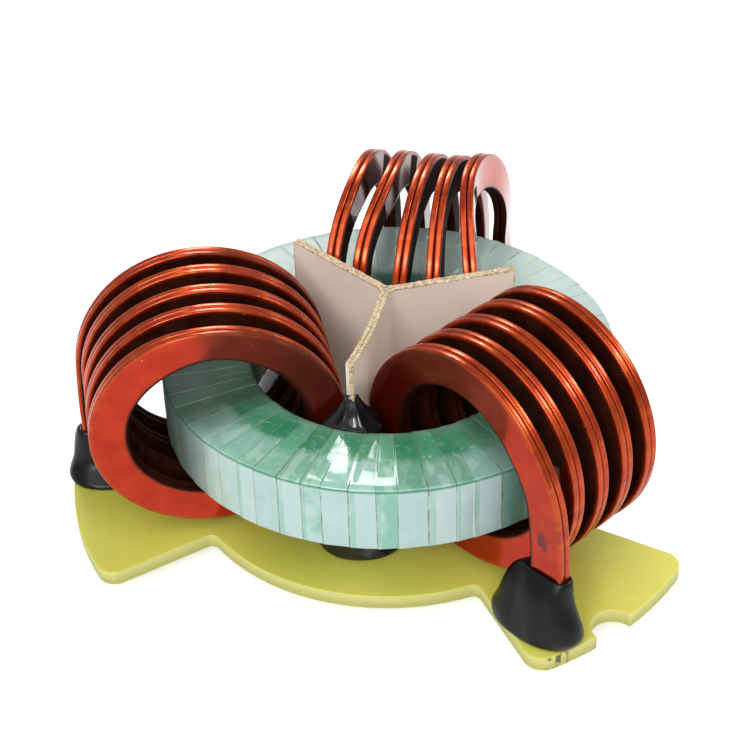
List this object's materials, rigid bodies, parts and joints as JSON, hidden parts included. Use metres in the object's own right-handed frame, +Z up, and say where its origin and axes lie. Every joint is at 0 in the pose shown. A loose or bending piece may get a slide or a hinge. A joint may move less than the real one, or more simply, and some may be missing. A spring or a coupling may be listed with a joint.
{
  "type": "toroidal inductor",
  "caption": "Toroidal common-mode inductor: a taped ring core over a lobed base plate, wound with open coils of flat enamelled wire, with a folded divider between them.",
  "frame": {"origin": "on the ring's axis at the underside of the base plate, the face that seats on a circuit board", "axes": "+Z up along the ring's axis, -Y towards the divider arm between coils c and a, +X to the right when seen from -Y"},
  "size_m": [0.1221, 0.111, 0.0542],
  "materials": {
    "plate_laminate": "satin glass-epoxy laminate, yellow, slightly translucent at its sawn edge",
    "ferrite": "matte sintered ferrite, hidden under the tape",
    "green_tape": "glossy film tape in overlapping laps, pale green with darker laps",
    "pressboard": "matte pressboard, pinkish beige with brown cut edges",
    "enamelled_wire": "glossy red-brown enamel over copper, tinned at the lead ends",
    "black_boot": "satin black",
    "black_sleeve": "satin black",
    "black_potting": "glossy black epoxy"
  },
  "bodies": {
    "root": {"base_plate": "plate_laminate", "ferrite_core": "ferrite", "tape_wrap": "green_tape", "divider_sheet_a": "pressboard", "divider_sheet_b": "pressboard", "divider_sheet_c": "pressboard", "coil_a_wire_1": "enamelled_wire", "coil_a_wire_2": "enamelled_wire", "coil_b_wire_1": "enamelled_wire", "coil_b_wire_2": "enamelled_wire", "coil_c_wire_1": "enamelled_wire", "coil_c_wire_2": "enamelled_wire", "lead_boot_a": "black_boot", "lead_boot_b": "black_boot", "lead_boot_c": "black_boot", "inner_sleeve_a": "black_sleeve", "inner_sleeve_b": "black_sleeve", "inner_sleeve_c": "black_sleeve", "potting_a": "black_potting", "potting_b": "black_potting", "potting_c": "black_potting"}
  },
  "joints": []
}
